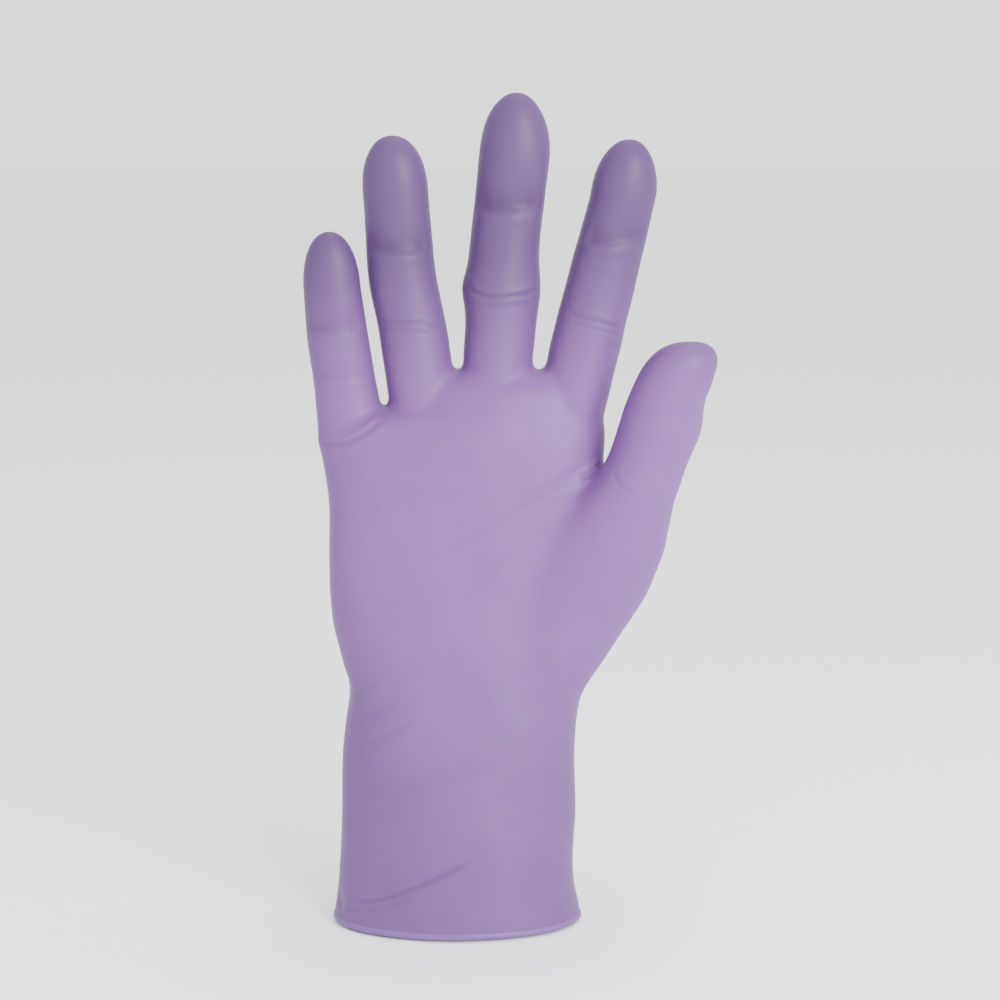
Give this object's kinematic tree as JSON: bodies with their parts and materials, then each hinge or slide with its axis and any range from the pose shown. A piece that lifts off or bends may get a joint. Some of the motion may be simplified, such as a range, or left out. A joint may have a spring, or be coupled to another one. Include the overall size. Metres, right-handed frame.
{
  "type": "disposable glove",
  "caption": "Thin dipped elastic glove for one hand, open at a rolled cuff, with film zones that bend at wrist, knuckles, fingers and thumb.",
  "frame": {"origin": "centre of the hand opening, on the underside of the rolled bead", "axes": "+Z from the opening to the fingertips, -Y out of the palm, +X to the thumb's side"},
  "size_m": [0.1148, 0.0505, 0.2344],
  "materials": {
    "lavender_film": "thin dipped nitrile film, semi-matte",
    "rolled_film": "the same film rolled into a cord, slightly denser and bluer"
  },
  "bodies": {
    "cuff": {"rolled_bead": "rolled_film", "cuff": "lavender_film"},
    "wrist_band": {"wrist_fold_film": "lavender_film", "wrist_band": "lavender_film"},
    "hand": {"wrist_side_film": "lavender_film", "hand": "lavender_film"},
    "knuckle_band": {"knuckle_film": "lavender_film", "knuckle_band": "lavender_film"},
    "thumb_base": {"thumb_web_film": "lavender_film", "thumb_base": "lavender_film"},
    "thumb_lower": {"thumb_base_film": "lavender_film", "thumb_lower": "lavender_film"},
    "thumb_tip": {"thumb_end_film": "lavender_film", "thumb_tip": "lavender_film"},
    "index_lower": {"index_base_film": "lavender_film", "index_lower": "lavender_film"},
    "index_middle": {"index_mid_film": "lavender_film", "index_middle": "lavender_film"},
    "index_tip": {"index_end_film": "lavender_film", "index_tip": "lavender_film"},
    "middle_lower": {"middle_base_film": "lavender_film", "middle_lower": "lavender_film"},
    "middle_middle": {"middle_mid_film": "lavender_film", "middle_middle": "lavender_film"},
    "middle_tip": {"middle_end_film": "lavender_film", "middle_tip": "lavender_film"},
    "ring_lower": {"ring_base_film": "lavender_film", "ring_lower": "lavender_film"},
    "ring_middle": {"ring_mid_film": "lavender_film", "ring_middle": "lavender_film"},
    "ring_tip": {"ring_end_film": "lavender_film", "ring_tip": "lavender_film"},
    "little_lower": {"little_base_film": "lavender_film", "little_lower": "lavender_film"},
    "little_middle": {"little_mid_film": "lavender_film", "little_middle": "lavender_film"},
    "little_tip": {"little_end_film": "lavender_film", "little_tip": "lavender_film"}
  },
  "joints": [
    {"name": "wrist_bend", "type": "hinge", "parent": "cuff", "child": "wrist_band", "pos_m": [0, 0, 0.052], "axis": [1, 0, 0], "range_deg": [-50, 50], "stiffness_Nm_per_rad": 0.08, "deforming": ["wrist_fold_film"]},
    {"name": "wrist_side_tilt", "type": "hinge", "parent": "wrist_band", "child": "hand", "pos_m": [0.0015, 0, 0.069], "axis": [0, 1, 0], "range_deg": [-12, 12], "stiffness_Nm_per_rad": 0.08, "deforming": ["wrist_side_film"]},
    {"name": "knuckle_bend", "type": "hinge", "parent": "hand", "child": "knuckle_band", "pos_m": [0.005, -0.006, 0.138], "axis": [0.9829, 0, 0.184], "range_deg": [-14, 45], "stiffness_Nm_per_rad": 0.04, "deforming": ["knuckle_film"]},
    {"name": "thumb_swing", "type": "hinge", "parent": "hand", "child": "thumb_base", "pos_m": [0.04217, 0, 0.10496], "axis": [0.0506, 0, 0.9987], "range_deg": [-26, 12], "stiffness_Nm_per_rad": 0.02, "deforming": ["thumb_web_film"]},
    {"name": "thumb_base_bend", "type": "hinge", "parent": "thumb_base", "child": "thumb_lower", "pos_m": [0.04966, -0.01594, 0.133], "axis": [-0.766, 0.6428, 0], "range_deg": [-45, 0], "stiffness_Nm_per_rad": 0.01, "deforming": ["thumb_base_film"]},
    {"name": "thumb_tip_bend", "type": "hinge", "parent": "thumb_lower", "child": "thumb_tip", "pos_m": [0.05519, -0.01901, 0.148], "axis": [-0.766, 0.6428, 0], "range_deg": [-60, 0], "stiffness_Nm_per_rad": 0.006, "deforming": ["thumb_end_film"]},
    {"name": "index_base_bend", "type": "hinge", "parent": "knuckle_band", "child": "index_lower", "pos_m": [0.035, -0.00442, 0.1617], "axis": [0.986, 0, -0.1668], "range_deg": [-10, 45], "stiffness_Nm_per_rad": 0.01, "deforming": ["index_base_film"]},
    {"name": "index_mid_bend", "type": "hinge", "parent": "index_lower", "child": "index_middle", "pos_m": [0.0373, -0.00522, 0.17184], "axis": [0.986, 0, -0.1668], "range_deg": [0, 70], "stiffness_Nm_per_rad": 0.006, "deforming": ["index_mid_film"]},
    {"name": "index_tip_bend", "type": "hinge", "parent": "index_middle", "child": "index_tip", "pos_m": [0.04249, -0.00728, 0.19466], "axis": [0.986, 0, -0.1668], "range_deg": [0, 45], "stiffness_Nm_per_rad": 0.004, "deforming": ["index_end_film"]},
    {"name": "middle_base_bend", "type": "hinge", "parent": "knuckle_band", "child": "middle_lower", "pos_m": [0.0113, -0.00451, 0.1617], "axis": [0.9994, 0, -0.0349], "range_deg": [-10, 45], "stiffness_Nm_per_rad": 0.01, "deforming": ["middle_base_film"]},
    {"name": "middle_mid_bend", "type": "hinge", "parent": "middle_lower", "child": "middle_middle", "pos_m": [0.01273, -0.00554, 0.18115], "axis": [0.9994, 0, -0.0349], "range_deg": [0, 70], "stiffness_Nm_per_rad": 0.006, "deforming": ["middle_mid_film"]},
    {"name": "middle_tip_bend", "type": "hinge", "parent": "middle_middle", "child": "middle_tip", "pos_m": [0.01451, -0.00746, 0.20538], "axis": [0.9994, 0, -0.0349], "range_deg": [0, 45], "stiffness_Nm_per_rad": 0.004, "deforming": ["middle_end_film"]},
    {"name": "ring_base_bend", "type": "hinge", "parent": "knuckle_band", "child": "ring_lower", "pos_m": [-0.0117, -0.00437, 0.1603], "axis": [0.9983, 0, 0.0576], "range_deg": [-10, 45], "stiffness_Nm_per_rad": 0.01, "deforming": ["ring_base_film"]},
    {"name": "ring_mid_bend", "type": "hinge", "parent": "ring_lower", "child": "ring_middle", "pos_m": [-0.01292, -0.00522, 0.17083], "axis": [0.9983, 0, 0.0576], "range_deg": [0, 70], "stiffness_Nm_per_rad": 0.006, "deforming": ["ring_mid_film"]},
    {"name": "ring_tip_bend", "type": "hinge", "parent": "ring_middle", "child": "ring_tip", "pos_m": [-0.01546, -0.00723, 0.19278], "axis": [0.9983, 0, 0.0576], "range_deg": [0, 45], "stiffness_Nm_per_rad": 0.004, "deforming": ["ring_end_film"]},
    {"name": "little_base_bend", "type": "hinge", "parent": "knuckle_band", "child": "little_lower", "pos_m": [-0.0312, -0.00419, 0.1498], "axis": [0.9981, 0, 0.061], "range_deg": [-10, 45], "stiffness_Nm_per_rad": 0.01, "deforming": ["little_base_film"]},
    {"name": "little_mid_bend", "type": "hinge", "parent": "little_lower", "child": "little_middle", "pos_m": [-0.03221, -0.00476, 0.15804], "axis": [0.9981, 0, 0.061], "range_deg": [0, 70], "stiffness_Nm_per_rad": 0.006, "deforming": ["little_mid_film"]},
    {"name": "little_tip_bend", "type": "hinge", "parent": "little_middle", "child": "little_tip", "pos_m": [-0.03378, -0.00682, 0.17084], "axis": [0.9981, 0, 0.061], "range_deg": [0, 45], "stiffness_Nm_per_rad": 0.004, "deforming": ["little_end_film"]}
  ]
}
